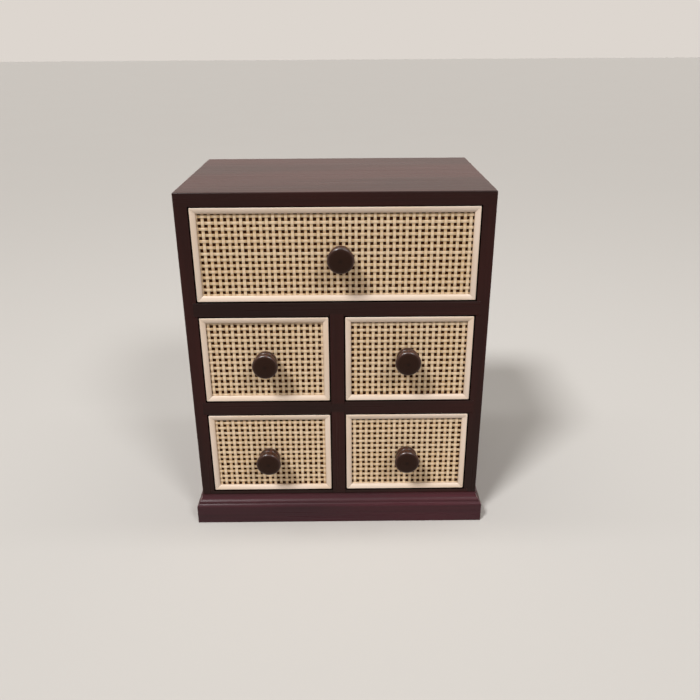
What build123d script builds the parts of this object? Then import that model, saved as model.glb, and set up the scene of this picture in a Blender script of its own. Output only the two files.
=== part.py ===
from build123d import *
import os

# Desktop chest with one wide drawer over two rows of two small drawers.
# Millimetres. The origin is on the floor under the middle of the whole chest, knobs included;
# +Z is up and the drawer fronts face -Y.

# Carcass
width = 254.0  # over the two side boards
depth = 168.0  # front edge of the boards to the back panel's outer face
side_thick = 11.0
top_thick = 11.0
shelf_thick = 12.5
divider_thick = 12.0
panel_thick = 4.0  # back panel
bay_height = 80.0  # every drawer opening is as high as the next
bay_rows = 3
base_top = 32.0  # upper face of the bottom board, above the floor
housing = 3.0  # shelf ends are let into the sides this far
divider_housing = 2.0  # dividers are let into the shelves this far
rebate_width = 5.0  # step that takes the back panel's edge
panel_lift = 2.0  # back panel's lower edge, above the floor
toe_rail_thick = 12.0
ease = 1.0  # sanded outer edges

# Plinth moulding, p outwards from the carcass and z up from the floor
plinth_reach = 5.3
plinth_top = 28.5
plinth_top_edge = 0.6
cove_foot = (2.4, 22.4)
upper_ledge = (3.1, 21.9)
ledge_drop = (3.4, 19.8)
lower_ledge = (4.4, 18.8)
arris_top = 17.4
arris_chamfer = 0.5

# Drawers
front_gap = 0.6  # dark line round each front
knob_reach = 18.5  # crown of the knobs, ahead of the carcass front
box_gap = 0.4  # drawer sides are set in from the front's ends
front_board_thick = 8.0
side_board_thick = 6.0
drawer_side_height = 66.0
drawer_back_gap = 0.3  # the closed drawer stops against the back panel
lap = 4.0  # drawer sides are let into the front board this far
bottom_thick = 3.0
bottom_lift = 5.0  # groove above the drawer's lower edge
groove = 3.0

# Mitred frame round each front
stick_width = 5.3
stick_thick = 3.2
stick_arris = 0.7
land = 1.4  # flat strip before the moulding falls to the cane
fall = 2.0
fall_foot = 0.2  # short upright face at the cane
cane_rebate = 2.0
mitre_line = 0.06  # hairline left at each mitre

# Cane webbing
cane_thick = 1.0
cane_play = 0.1
strand_pitch = 5.08
net_pitch = 2 * strand_pitch  # drawn with every second strand
gap_share = 0.48  # part of a pitch that is open

# Turned knobs, from the cane outwards: distance, radius there, bulge of the curve that ends there
knob_base_radius = 5.4
knob_turnings = [
    (5.7, 8.9, 0.0),  # flaring neck
    (10.7, 8.8, 0.5),  # bead
    (15.3, 8.8, 0.5),  # bead
    (16.9, 10.6, 0.0),  # underside of the rim
    (18.8, 10.8, 0.0),  # rim
    (19.9, 9.8, 0.3),  # rounded edge of the face
]
crown_bulge = 2.0
knob_bore_radius = 1.6
knob_bore_depth = 14.0
screw_radius = 1.5
screw_hole_radius = 1.8
screw_head_radius = 3.2
screw_head_height = 2.2
screw_bite = 12.0  # length in the knob

# Where the hand-fitted knobs sit, across and up from the middle of their fronts
knob_offsets = {
    "top_drawer": (3.9, 0.3),
    "middle_left_drawer": (0.7, 1.7),
    "middle_right_drawer": (-1.6, 3.7),
    "bottom_left_drawer": (-1.0, -1.2),
    "bottom_right_drawer": (-0.2, -0.3),
}

# Worked out from the values above
front = -(depth - knob_reach) / 2
back = front + depth
middle = (front + back) / 2
panel_front = back - panel_thick
inner_width = width - 2 * side_thick
bay_step = bay_height + shelf_thick
bay_floors = [base_top + row * bay_step for row in range(bay_rows)]
side_height = bay_floors[-1] + bay_height
height = side_height + top_thick
panel_half = inner_width / 2 + rebate_width
board_depth = panel_front - front
board_middle = (front + panel_front) / 2
half_bay = (inner_width - divider_thick) / 2
frame_back = front + stick_thick
cane_front = frame_back - cane_thick
board_back = frame_back + front_board_thick
drawer_end = panel_front - drawer_back_gap
knob_length = knob_reach + cane_front - front

# Each drawer: middle of its bay across, bay width, bay floor
column = (half_bay + divider_thick) / 2
drawers = {
    "top_drawer": (0.0, inner_width, bay_floors[2]),
    "middle_left_drawer": (-column, half_bay, bay_floors[1]),
    "middle_right_drawer": (column, half_bay, bay_floors[1]),
    "bottom_left_drawer": (-column, half_bay, bay_floors[0]),
    "bottom_right_drawer": (column, half_bay, bay_floors[0]),
}

os.makedirs("parts", exist_ok=True)


def facing_front(y):
    """Upright plane at y; extruding from it goes towards the front."""
    return Plane.XZ.offset(-y)


def finish(piece, label):
    piece.part.label = label
    export_step(piece.part, f"parts/{label}.step")


# ---- carcass boards ----

# Sides stand on the floor; housings take the shelf ends, a rebate takes the back panel.
for side, label in ((-1, "left_side"), (1, "right_side")):
    inner_face = Plane.YZ.offset(side * inner_width / 2)
    with BuildPart() as side_board:
        with BuildSketch(inner_face):
            with Locations((middle, side_height / 2)):
                Rectangle(depth, side_height)
        extrude(amount=side * side_thick)
        front_edges = side_board.edges().filter_by(Axis.Z).group_by(Axis.Y)[0]
        fillet(front_edges.sort_by(Axis.X)[0 if side < 0 else -1], radius=ease)
        with BuildSketch(inner_face):
            for floor in bay_floors:
                with Locations((board_middle, floor - shelf_thick / 2)):
                    Rectangle(board_depth, shelf_thick)
        extrude(amount=side * housing, mode=Mode.SUBTRACT)
        with BuildSketch(inner_face):
            with Locations((back - panel_thick / 2, side_height / 2)):
                Rectangle(panel_thick, side_height)
        extrude(amount=side * rebate_width, mode=Mode.SUBTRACT)
    finish(side_board, label)

# The top lies over the ends of both sides; only its outer edges are eased.
with BuildPart() as top_board:
    with BuildSketch(Plane.XY.offset(side_height)):
        with Locations((0, middle)):
            Rectangle(width, depth)
    extrude(amount=top_thick)
    fillet(top_board.edges().filter_by(Axis.Z).group_by(Axis.Y)[0], radius=ease)
    fillet(top_board.edges().group_by(Axis.Z)[-1], radius=ease)
    with BuildSketch(facing_front(back)):
        with Locations((0, side_height + rebate_width / 2)):
            Rectangle(2 * panel_half, rebate_width)
    extrude(amount=panel_thick, mode=Mode.SUBTRACT)
finish(top_board, "top_board")

# Bottom board and shelves carry the drawers and hold the dividers in housings.
for row, label in enumerate(("bottom_board", "lower_shelf", "upper_shelf")):
    with BuildPart() as shelf:
        with BuildSketch(Plane.XY.offset(bay_floors[row] - shelf_thick)):
            with Locations((0, board_middle)):
                Rectangle(inner_width + 2 * housing, board_depth)
        extrude(amount=shelf_thick)
        groove_depths = []
        if row < bay_rows - 1:
            groove_depths.append((bay_floors[row], -divider_housing))
        if row > 0:
            groove_depths.append((bay_floors[row] - shelf_thick, divider_housing))
        for face_z, depth_in in groove_depths:
            with BuildSketch(Plane.XY.offset(face_z)):
                with Locations((0, board_middle)):
                    Rectangle(divider_thick, board_depth)
            extrude(amount=depth_in, mode=Mode.SUBTRACT)
    finish(shelf, label)

for row, label in enumerate(("lower_divider", "upper_divider")):
    with BuildPart() as divider:
        with BuildSketch(Plane.XY.offset(bay_floors[row] - divider_housing)):
            with Locations((0, board_middle)):
                Rectangle(divider_thick, board_depth)
        extrude(amount=bay_height + 2 * divider_housing)
    finish(divider, label)

with BuildPart() as back_panel:
    with BuildSketch(facing_front(back)):
        with Locations((0, (panel_lift + side_height + rebate_width) / 2)):
            Rectangle(2 * panel_half, side_height + rebate_width - panel_lift)
    extrude(amount=panel_thick)
finish(back_panel, "back_panel")

# Toe rail closes the space under the bottom board and backs the front moulding.
with BuildPart() as toe_rail:
    with BuildSketch(Plane.XY):
        with Locations((0, front + toe_rail_thick / 2)):
            Rectangle(inner_width, toe_rail_thick)
    extrude(amount=base_top - shelf_thick)
finish(toe_rail, "toe_rail")

# ---- plinth moulding ----


def plinth_section(plane):
    """Ogee section: cove, two ledges and a plain fascia, with its flat back on the carcass."""
    with BuildSketch(plane) as section:
        with BuildLine():
            Line((0, 0), (0, plinth_top))
            Line((0, plinth_top), (plinth_top_edge, plinth_top))
            cove_bulge = ((plinth_top_edge + cove_foot[0]) / 2 - 0.5, (plinth_top + cove_foot[1]) / 2 - 0.6)
            ThreePointArc((plinth_top_edge, plinth_top), cove_bulge, cove_foot)
            Line(cove_foot, upper_ledge)
            Line(upper_ledge, ledge_drop)
            Line(ledge_drop, lower_ledge)
            TangentArc((plinth_reach, arris_top), lower_ledge, tangent=(0, 1))
            Line((plinth_reach, arris_top), (plinth_reach, arris_chamfer))
            Line((plinth_reach, arris_chamfer), (plinth_reach - arris_chamfer, 0))
            Line((plinth_reach - arris_chamfer, 0), (0, 0))
        make_face()
    return section.sketch


def mitre(side):
    """Upright plane through a front corner; its normal points to the front run's side."""
    return Plane(origin=(side * width / 2, front, 0), x_dir=(0, 0, 1), z_dir=(-side, -1, 0))


front_plane = Plane(origin=(0, front, 0), x_dir=(0, -1, 0), z_dir=(-1, 0, 0))
with BuildPart() as plinth_front:
    extrude(plinth_section(front_plane), amount=width / 2 + plinth_reach, both=True)
    split(bisect_by=mitre(-1), keep=Keep.TOP)
    split(bisect_by=mitre(1), keep=Keep.TOP)
finish(plinth_front, "plinth_front")

for side, label in ((-1, "plinth_left"), (1, "plinth_right")):
    run_plane = Plane(origin=(side * width / 2, back, 0), x_dir=(side, 0, 0), z_dir=(0, -side, 0))
    with BuildPart() as plinth_side:
        extrude(plinth_section(run_plane), amount=side * (depth + plinth_reach))
        split(bisect_by=mitre(side), keep=Keep.BOTTOM)
    finish(plinth_side, label)

# ---- drawers ----

# Half outline of a knob as (distance from the cane, radius); each curve gets its point of most bulge.
knob_profile = [(0.0, 0.0), (0.0, knob_base_radius)]
for out, radius, bulge in [*knob_turnings, (knob_length, 0.0, crown_bulge)]:
    last_out, last_radius = knob_profile[-1]
    if bulge:
        knob_profile.append(((last_out + out) / 2, (last_radius + radius) / 2 + bulge))
    knob_profile.append((out, radius))

for name, (centre_x, bay_width, floor) in drawers.items():
    front_width = bay_width - 2 * front_gap
    front_height = bay_height - 2 * front_gap
    low = floor + front_gap
    centre_z = low + front_height / 2
    box_width = front_width - 2 * box_gap
    box_inside = box_width - 2 * side_board_thick
    knob_x = centre_x + knob_offsets[name][0]
    knob_z = centre_z + knob_offsets[name][1]
    knob_axis = Axis((knob_x, 0, knob_z), (0, 1, 0))

    # Front board: dark, full size, lapped for the sides and grooved for the bottom.
    with BuildPart() as front_board:
        with BuildSketch(facing_front(board_back)):
            with Locations((centre_x, centre_z)):
                Rectangle(front_width, front_height)
            with Locations((knob_x, knob_z)):
                Circle(screw_hole_radius, mode=Mode.SUBTRACT)
        extrude(amount=front_board_thick)
        lap_width = box_gap + side_board_thick
        with BuildSketch(facing_front(board_back)):
            with Locations((centre_x, low + drawer_side_height / 2)):
                Rectangle(front_width, drawer_side_height)
                Rectangle(front_width - 2 * lap_width, drawer_side_height, mode=Mode.SUBTRACT)
        extrude(amount=lap, mode=Mode.SUBTRACT)
        with BuildSketch(facing_front(board_back)):
            with Locations((centre_x, low + bottom_lift + bottom_thick / 2)):
                Rectangle(box_inside + 2 * groove, bottom_thick)
        extrude(amount=groove, mode=Mode.SUBTRACT)
    finish(front_board, f"{name}_front_board")

    # Sides run back from the laps; the bottom slides in their grooves.
    side_front = board_back - lap
    for side, label in ((-1, "side_left"), (1, "side_right")):
        inside_face = Plane.YZ.offset(centre_x + side * box_inside / 2)
        side_middle = (side_front + drawer_end) / 2
        with BuildPart() as drawer_side:
            with BuildSketch(inside_face):
                with Locations((side_middle, low + drawer_side_height / 2)):
                    Rectangle(drawer_end - side_front, drawer_side_height)
            extrude(amount=side * side_board_thick)
            with BuildSketch(inside_face):
                with Locations((side_middle, low + bottom_lift + bottom_thick / 2)):
                    Rectangle(drawer_end - side_front, bottom_thick)
            extrude(amount=side * groove, mode=Mode.SUBTRACT)
        finish(drawer_side, f"{name}_{label}")

    # The bottom passes under the back board.
    bottom_front = board_back - groove
    with BuildPart() as drawer_bottom:
        with BuildSketch(Plane.XY.offset(low + bottom_lift)):
            with Locations((centre_x, (bottom_front + drawer_end) / 2)):
                Rectangle(box_inside + 2 * groove, drawer_end - bottom_front)
        extrude(amount=bottom_thick)
    finish(drawer_bottom, f"{name}_bottom")

    back_low = low + bottom_lift + bottom_thick
    back_high = low + drawer_side_height
    with BuildPart() as drawer_back:
        with BuildSketch(facing_front(drawer_end)):
            with Locations((centre_x, (back_low + back_high) / 2)):
                Rectangle(box_inside, back_high - back_low)
        extrude(amount=side_board_thick)
    finish(drawer_back, f"{name}_back")

    # Frame: one moulding carried round the front, then sawn apart at the four mitres.
    with BuildPart() as frame:
        with BuildLine(facing_front(frame_back)):
            Polyline(
                (centre_x, low),
                (centre_x + front_width / 2, low),
                (centre_x + front_width / 2, low + front_height),
                (centre_x - front_width / 2, low + front_height),
                (centre_x - front_width / 2, low),
                (centre_x, low),
            )
        with BuildSketch(Plane.YZ.offset(centre_x)):
            with BuildLine():
                land_end = (front, low + land)
                fall_end = (front + fall, low + stick_width - fall_foot)
                TangentArc(land_end, fall_end, tangent=(0, 1))
                Polyline(
                    fall_end,
                    (cane_front, low + stick_width),
                    (cane_front, low + stick_width - cane_rebate),
                    (frame_back, low + stick_width - cane_rebate),
                    (frame_back, low),
                    (front + stick_arris, low),
                    (front, low + stick_arris),
                    land_end,
                )
            make_face()
        sweep(transition=Transition.RIGHT)
        with BuildSketch(facing_front(frame_back)):
            for x_side in (-1, 1):
                for z_side in (-1, 1):
                    corner_x = centre_x + x_side * (front_width - stick_width) / 2
                    corner_z = centre_z + z_side * (front_height - stick_width) / 2
                    with Locations(Location((corner_x, corner_z), x_side * z_side * 45)):
                        Rectangle(2 * stick_width, mitre_line)
        extrude(amount=stick_thick, mode=Mode.SUBTRACT)
    finish(frame, f"{name}_frame")

    # Cane: one holed sheet, its edge held in the frame's rebate, whole under the knob.
    window_width = front_width - 2 * stick_width
    window_height = front_height - 2 * stick_width
    columns = int(window_width / net_pitch)
    rows = int(window_height / net_pitch)
    pitch_x = window_width / columns
    pitch_z = window_height / rows
    cane_edge = cane_rebate - cane_play
    with BuildPart() as cane:
        with BuildSketch(facing_front(frame_back)):
            with Locations((centre_x, centre_z)):
                Rectangle(window_width + 2 * cane_edge, window_height + 2 * cane_edge)
                with GridLocations(pitch_x, pitch_z, columns, rows):
                    Rectangle(pitch_x * gap_share, pitch_z * gap_share, mode=Mode.SUBTRACT)
            with Locations((knob_x, knob_z)):
                Circle(knob_base_radius)
                Circle(screw_hole_radius, mode=Mode.SUBTRACT)
        extrude(amount=cane_thick)
    finish(cane, f"{name}_cane")

    # Knob: flaring neck, two beads, overhanging rim, rounded shoulder and shallow crown.
    with BuildPart() as knob:
        with BuildSketch(Plane.YZ.offset(knob_x)):
            with BuildLine():
                outline = Polyline(*[(cane_front - out, knob_z + radius) for out, radius in knob_profile])
                Line(outline @ 1, outline @ 0)
            make_face()
        revolve(axis=knob_axis)
        with BuildSketch(facing_front(cane_front)):
            with Locations((knob_x, knob_z)):
                Circle(knob_bore_radius)
        extrude(amount=knob_bore_depth, mode=Mode.SUBTRACT)
    finish(knob, f"{name}_knob")

    # Screw from inside the drawer: pan head on the front board, shank in the knob.
    with BuildPart() as screw:
        with BuildSketch(facing_front(board_back + screw_head_height)):
            with Locations((knob_x, knob_z)):
                Circle(screw_head_radius)
        extrude(amount=screw_head_height)
        with BuildSketch(facing_front(board_back)):
            with Locations((knob_x, knob_z)):
                Circle(screw_radius)
        extrude(amount=board_back - cane_front + screw_bite)
    finish(screw, f"{name}_knob_screw")
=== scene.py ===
import math

import bmesh
import bpy
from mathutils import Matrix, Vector


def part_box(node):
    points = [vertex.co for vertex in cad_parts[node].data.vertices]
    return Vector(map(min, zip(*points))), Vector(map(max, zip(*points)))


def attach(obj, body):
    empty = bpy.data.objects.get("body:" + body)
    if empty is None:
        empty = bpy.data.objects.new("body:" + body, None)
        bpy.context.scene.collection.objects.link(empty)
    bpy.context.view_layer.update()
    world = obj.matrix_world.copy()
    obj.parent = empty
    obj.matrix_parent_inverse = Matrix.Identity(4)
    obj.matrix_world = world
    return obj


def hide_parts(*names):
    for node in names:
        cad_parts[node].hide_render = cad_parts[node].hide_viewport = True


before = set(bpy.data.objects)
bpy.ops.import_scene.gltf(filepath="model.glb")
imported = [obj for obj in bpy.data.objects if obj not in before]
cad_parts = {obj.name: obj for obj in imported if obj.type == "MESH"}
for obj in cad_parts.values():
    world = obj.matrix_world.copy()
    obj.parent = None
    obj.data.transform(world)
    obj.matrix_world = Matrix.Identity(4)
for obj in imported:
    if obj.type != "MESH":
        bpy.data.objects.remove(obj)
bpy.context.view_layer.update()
mm = 0.001
doublesWithin = 0.0005 * mm
scene = bpy.context.scene


def toLinear(hexColour):
    channels = [int(hexColour[i:i + 2], 16) / 255 for i in (1, 3, 5)]
    linear = [c / 12.92 if c <= 0.04045 else ((c + 0.055) / 1.055) ** 2.4 for c in channels]
    return (*linear, 1.0)


def addNode(tree, kind, inputs=None, **settings):
    # adds a node; an input is a value, a socket, or a node whose first output is meant
    node = tree.nodes.new(kind)
    for name, value in settings.items():
        setattr(node, name, value)
    for key, value in (inputs or {}).items():
        if isinstance(value, bpy.types.Node):
            value = value.outputs[0]
        if isinstance(value, bpy.types.NodeSocket):
            tree.links.new(value, node.inputs[key])
        else:
            node.inputs[key].default_value = value
    return node


def camelName(node):
    first, *others = node.split("_")
    return first + "".join(word.capitalize() for word in others)


def linkObject(name, mesh, material=None):
    piece = bpy.data.objects.new(name, mesh)
    scene.collection.objects.link(piece)
    if material:
        mesh.materials.clear()
        mesh.materials.append(material)
    return piece


def settle(piece, body, slot, *nodes):
    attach(piece, body)
    if nodes:
        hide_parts(*nodes)
    return piece


def toMesh(build, name):
    mesh = bpy.data.meshes.new(name)
    build.to_mesh(mesh)
    build.free()
    return mesh


def cleanMesh(build, name):
    # merged doubles and outward faces
    bmesh.ops.remove_doubles(build, verts=build.verts, dist=doublesWithin)
    bmesh.ops.recalc_face_normals(build, faces=build.faces)
    return toMesh(build, name)


def smoothUnder(mesh, degrees):
    mesh.polygons.foreach_set("use_smooth", [True] * len(mesh.polygons))
    mesh.set_sharp_from_angle(angle=math.radians(degrees))


def storeValues(mesh, name, values):
    mesh.attributes.new(name, "FLOAT", "POINT").data.foreach_set("value", values)


def storeVectors(mesh, name, vectors):
    layer = mesh.attributes.new(name, "FLOAT_VECTOR", "POINT")
    layer.data.foreach_set("vector", [value for vector in vectors for value in vector])


def startMaterial(name):
    material = bpy.data.materials.new(name)
    material.use_nodes = True
    tree = material.node_tree
    tree.nodes.clear()
    surface = addNode(tree, "ShaderNodeBsdfPrincipled")
    addNode(tree, "ShaderNodeOutputMaterial", {"Surface": surface})
    return material, tree, surface


def grainPattern(tree, size, detail, distortion=0.0):
    # noise whose patches lie along the grain, so long and so wide in mm; the attribute boardGrain measures
    # a piece in metres along its grain, across it and through its thickness
    perLength, perWidth = (1 / (side * mm) for side in size)
    place = addNode(tree, "ShaderNodeAttribute", attribute_name="boardGrain").outputs["Vector"]
    drawnOut = addNode(tree, "ShaderNodeMapping", {"Vector": place, "Scale": (perLength, perWidth, perWidth)})
    return addNode(tree, "ShaderNodeTexNoise", {"Vector": drawnOut, "Scale": 1, "Detail": detail,
                                                "Distortion": distortion})


def grainDepth(tree):
    place = addNode(tree, "ShaderNodeAttribute", attribute_name="boardGrain").outputs["Vector"]
    return addNode(tree, "ShaderNodeSeparateXYZ", {0: place}).outputs["Z"]


def layColours(tree, ground, *layers):
    # a layer is a pattern and what it lays over the colour below: the new colour, the pattern's value where
    # the layer starts, its value where the layer is thickest, and how much is covered there
    colour = toLinear(ground)
    for pattern, (tone, start, full, share) in layers:
        cover = addNode(tree, "ShaderNodeMapRange", {0: pattern, 1: start, 2: full, 4: share})
        mixed = addNode(tree, "ShaderNodeMix", {0: cover, 6: colour, 7: toLinear(tone)}, data_type="RGBA")
        colour = mixed.outputs[2]
    return colour


def setSurface(tree, surface, colour, reliefs, values):
    # a relief is a height pattern and its depth in mm; values are the same all over the surface
    tree.links.new(colour, surface.inputs["Base Color"])
    below = {}
    for height, depth in reliefs:
        bump = addNode(tree, "ShaderNodeBump", {"Height": height, "Strength": 1.0, "Distance": depth * mm,
                                                **below})
        below = {"Normal": bump}
        tree.links.new(bump.outputs[0], surface.inputs["Normal"])
    for name, value in values.items():
        surface.inputs[name].default_value = value


lacquerLook = {
    "dark": "#200F0C", "red": ("#331411", 0.36, 0.64, 1.0), "streak": ("#120907", 0.45, 0.75, 0.35),
    "patchSize": (260, 60), "streakSize": (190, 3.5), "poreSize": (11, 0.5), "rippleSize": (2.4, 2.4),
    "pores": (0.30, 0.42), "poreDepth": 0.02, "rippleDepth": 0.01, "roughness": (0.22, 0.36),
    "specular": 0.18, "haze": 0.43, "hazeRoughness": 0.35, "hazeTint": "#BC5440",
}
# the mouldings are lighter, redder and more purple than the carcass, which is painted bounce light from the
# floor, and they shine more
mouldingBounceLook = {**lacquerLook, "dark": "#30151C", "red": ("#4A1E27", 0.36, 0.64, 1.0), "specular": 0.3}


def lacqueredMahogany(name, look):
    # stained mahogany under sprayed lacquer: near-black red with soft streaks and a slightly rippled gloss
    material, tree, surface = startMaterial(name)
    patch = grainPattern(tree, look["patchSize"], detail=2)
    streak = grainPattern(tree, look["streakSize"], detail=3)
    pore = grainPattern(tree, look["poreSize"], detail=2)
    ripple = grainPattern(tree, look["rippleSize"], detail=2)
    colour = layColours(tree, look["dark"], (patch, look["red"]), (streak, look["streak"]))
    pores = addNode(tree, "ShaderNodeMapRange", {0: pore, 1: look["pores"][0], 2: look["pores"][1]})
    rough = addNode(tree, "ShaderNodeMapRange", {0: streak, 3: look["roughness"][0], 4: look["roughness"][1]})
    tree.links.new(rough.outputs[0], surface.inputs["Roughness"])
    setSurface(tree, surface, colour, [(pores, look["poreDepth"]), (ripple, look["rippleDepth"])], {
        "Specular IOR Level": look["specular"], "Sheen Weight": look["haze"],
        "Sheen Roughness": look["hazeRoughness"], "Sheen Tint": toLinear(look["hazeTint"])})
    return material


creamLook = {
    "base": "#EAD6C5", "warm": ("#E3CAB0", 0.40, 0.70, 0.8), "speck": ("#C9AC90", 0.62, 0.80, 0.35),
    # painted shade: tan, growing with the depth into the moulding
    "grime": ("#A98A69", 0.6 * mm, 2.0 * mm, 0.6),  # this layer follows the depth
    "mottleSize": (60, 9), "fibreSize": (22, 0.6), "fibreDepth": 0.02, "roughness": 0.36,
}


def creamPaint():
    # cream paint brushed on beech: satin, a little warmth where it lies thin, a trace of the wood's fibre,
    # and painted shade, tan, that deepens into the moulding
    look = creamLook
    material, tree, surface = startMaterial("creamPaint")
    mottle = grainPattern(tree, look["mottleSize"], detail=2)
    fibre = grainPattern(tree, look["fibreSize"], detail=3)
    # the last layer is painted shade, darker the deeper into the moulding
    colour = layColours(tree, look["base"], (mottle, look["warm"]), (fibre, look["speck"]),
                        (grainDepth(tree), look["grime"]))
    setSurface(tree, surface, colour, [(fibre, look["fibreDepth"])], {"Roughness": look["roughness"]})
    return material


caneLook = {
    "pale": "#E5CAA6", "gold": ("#D6B589", 0.0, 1.0, 1.0), "streak": ("#8C5A2A", 0.48, 0.80, 0.75),
    # dirt and painted shade where a strand dips under its neighbour, a painted highlight where it rides over
    "dust": ("#8C5A2A", 0.5, 1.0, 0.45), "paintedHighlight": ("#FAE7CE", 0.4, 0.0, 0.55),
    "fibreLength": 9, "fibresAcross": 7, "fibreDepth": 0.05, "roughness": 0.42, "specular": 0.4,
}


def peeledCane():
    # skin of rattan split into flat strands: pale straw, each strand its own tone, fine fibres along it, and
    # a soft sheen
    look = caneLook
    material, tree, surface = startMaterial("peeledCane")
    strand = {part: addNode(tree, "ShaderNodeAttribute", attribute_name=f"strand{part}").outputs["Fac"]
              for part in ("Tint", "Run", "Across", "Low")}
    run = addNode(tree, "ShaderNodeMath", {0: strand["Run"], 1: 1 / (look["fibreLength"] * mm)},
                  operation="MULTIPLY")
    across = addNode(tree, "ShaderNodeMath", {0: strand["Across"], 1: look["fibresAcross"]},
                     operation="MULTIPLY")
    place = addNode(tree, "ShaderNodeCombineXYZ", {"X": run, "Y": across})
    fibre = addNode(tree, "ShaderNodeTexNoise", {"Vector": place, "Scale": 1, "Detail": 3})
    # the last two layers are dirt with painted shade in the dips and a painted highlight on the crossings
    colour = layColours(tree, look["pale"], (strand["Tint"], look["gold"]), (fibre, look["streak"]),
                        (strand["Low"], look["dust"]), (strand["Low"], look["paintedHighlight"]))
    setSurface(tree, surface, colour, [(fibre, look["fibreDepth"])],
               {"Roughness": look["roughness"], "Specular IOR Level": look["specular"]})
    return material


knobLook = {
    "side": "#22100A", "red": ("#4C2416", 0.38, 0.66, 1.0), "endGrain": "#2E1A11",
    "ring": ("#140A06", 0.0, 1.0, 1.0), "ringStep": 1.4, "ringShare": 0.5, "heart": 3.0, "heartShare": 0.8,
    "grainSize": (14, 1.1), "grainDepth": 0.01, "roughness": 0.3, "gloss": 0.6, "dull": 0.12,
}


def turnedKnobLacquer():
    # turned beech stained and lacquered: gloss, warm brown on the side grain, near-black where the end grain
    # drinks more stain
    look = knobLook
    material, tree, surface = startMaterial("turnedKnobLacquer")
    grain = grainPattern(tree, look["grainSize"], detail=3)
    side = layColours(tree, look["side"], (grain, look["red"]))
    end, radius = (addNode(tree, "ShaderNodeAttribute", attribute_name=name).outputs["Fac"]
                   for name in ("endGrain", "turnRadius"))
    # the tool leaves faint rings round a darker centre
    rings = addNode(tree, "ShaderNodeMath", {0: radius, 1: 2 * math.pi / (look["ringStep"] * mm)},
                    operation="MULTIPLY")
    wave = addNode(tree, "ShaderNodeMath", {0: rings}, operation="SINE")
    ringed = addNode(tree, "ShaderNodeMapRange", {0: wave, 1: -1.0, 2: 1.0, 4: look["ringShare"]})
    heart = addNode(tree, "ShaderNodeMapRange", {0: radius, 1: look["heart"] * mm, 2: 0.0,
                                                 4: look["heartShare"]})
    darkened = addNode(tree, "ShaderNodeMath", {0: ringed, 1: heart}, operation="MAXIMUM")
    face = layColours(tree, look["endGrain"], (darkened, look["ring"]))
    colour = addNode(tree, "ShaderNodeMix", {0: end, 6: side, 7: face}, data_type="RGBA").outputs[2]
    shine = addNode(tree, "ShaderNodeMapRange", {0: end, 3: look["gloss"], 4: look["dull"]})
    tree.links.new(shine.outputs[0], surface.inputs["Specular IOR Level"])
    setSurface(tree, surface, colour, [(grain, look["grainDepth"])], {"Roughness": look["roughness"]})
    return material


stainLook = {
    "dark": "#280F04", "light": ("#42200C", 0.35, 0.70, 1.0), "fibreSize": (16, 0.9), "fibreDepth": 0.06,
    "roughness": 0.66, "specular": 0.06,
}
# a stain darkened near to black: painted shade for the faces in the drawer gaps
shadedStainLook = {**stainLook, "dark": "#060302", "light": ("#0F0704", 0.35, 0.70, 1.0), "specular": 0.0}


def stainedWood(name, look):
    # dark water stain, unpolished: matt brown with short fibres, near-black where the coats run together
    material, tree, surface = startMaterial(name)
    fibre = grainPattern(tree, look["fibreSize"], detail=4)
    colour = layColours(tree, look["dark"], (fibre, look["light"]))
    setSurface(tree, surface, colour, [(fibre, look["fibreDepth"])],
               {"Roughness": look["roughness"], "Specular IOR Level": look["specular"]})
    return material


plyLook = {
    "pale": "#E3CBA4", "tan": ("#CFAE80", 0.35, 0.65, 1.0), "glueLine": ("#9B764C", 0.0, 1.0, 1.0),
    "fibre": ("#9B764C", 0.55, 0.80, 0.30), "plyThick": 1.2, "glueShare": 0.2, "figureSize": (120, 9),
    "figureWave": 1.2, "fibreSize": (14, 0.7), "fibreDepth": 0.04, "roughness": 0.55,
}


def birchPlywood():
    # sanded birch plywood, unfinished: pale wavy face, and at the edges plies a millimetre thick between
    # glue lines
    look = plyLook
    material, tree, surface = startMaterial("birchPlywood")
    figure = grainPattern(tree, look["figureSize"], detail=2, distortion=look["figureWave"])
    fibre = grainPattern(tree, look["fibreSize"], detail=3)
    plies = addNode(tree, "ShaderNodeMath", {0: grainDepth(tree), 1: 1 / (look["plyThick"] * mm)},
                    operation="MULTIPLY")
    within = addNode(tree, "ShaderNodeMath", {0: plies}, operation="FRACT")
    glued = addNode(tree, "ShaderNodeMath", {0: within, 1: 1 - look["glueShare"]}, operation="GREATER_THAN")
    colour = layColours(tree, look["pale"], (figure, look["tan"]), (glued, look["glueLine"]),
                        (fibre, look["fibre"]))
    setSurface(tree, surface, colour, [(fibre, look["fibreDepth"])], {"Roughness": look["roughness"]})
    return material


zincLook = {
    "bright": "#C3C5C4", "dull": ("#9A9C99", 0.0, 1.0, 1.0), "cloudSize": 0.8, "roughness": (0.28, 0.44),
}


def zincPlate():
    # bright zinc plating on steel: cool grey metal, faintly clouded
    look = zincLook
    material, tree, surface = startMaterial("zincPlate")
    place = addNode(tree, "ShaderNodeTexCoord").outputs["Object"]
    cloud = addNode(tree, "ShaderNodeTexNoise", {"Vector": place, "Scale": 1 / (look["cloudSize"] * mm)})
    rough = addNode(tree, "ShaderNodeMapRange", {0: cloud, 3: look["roughness"][0], 4: look["roughness"][1]})
    tree.links.new(rough.outputs[0], surface.inputs["Roughness"])
    setSurface(tree, surface, layColours(tree, look["bright"], (cloud, look["dull"])), [], {"Metallic": 1.0})
    return material


finishes = {
    "mahogany_lacquer": lacqueredMahogany("lacqueredMahogany", lacquerLook), "cream_moulding": creamPaint(),
    "cane_webbing": peeledCane(), "turned_knob": turnedKnobLacquer(),
    "stained_board": stainedWood("stainedBoard", stainLook), "drawer_plywood": birchPlywood(),
    "zinc_screw": zincPlate(),
}
mouldingBounceLacquer = lacqueredMahogany("mouldingBounceLacquer", mouldingBounceLook)
shadedGapStain = stainedWood("shadedGapStain", shadedStainLook)
print("materials made:", ", ".join(sorted(finishes)))

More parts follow.
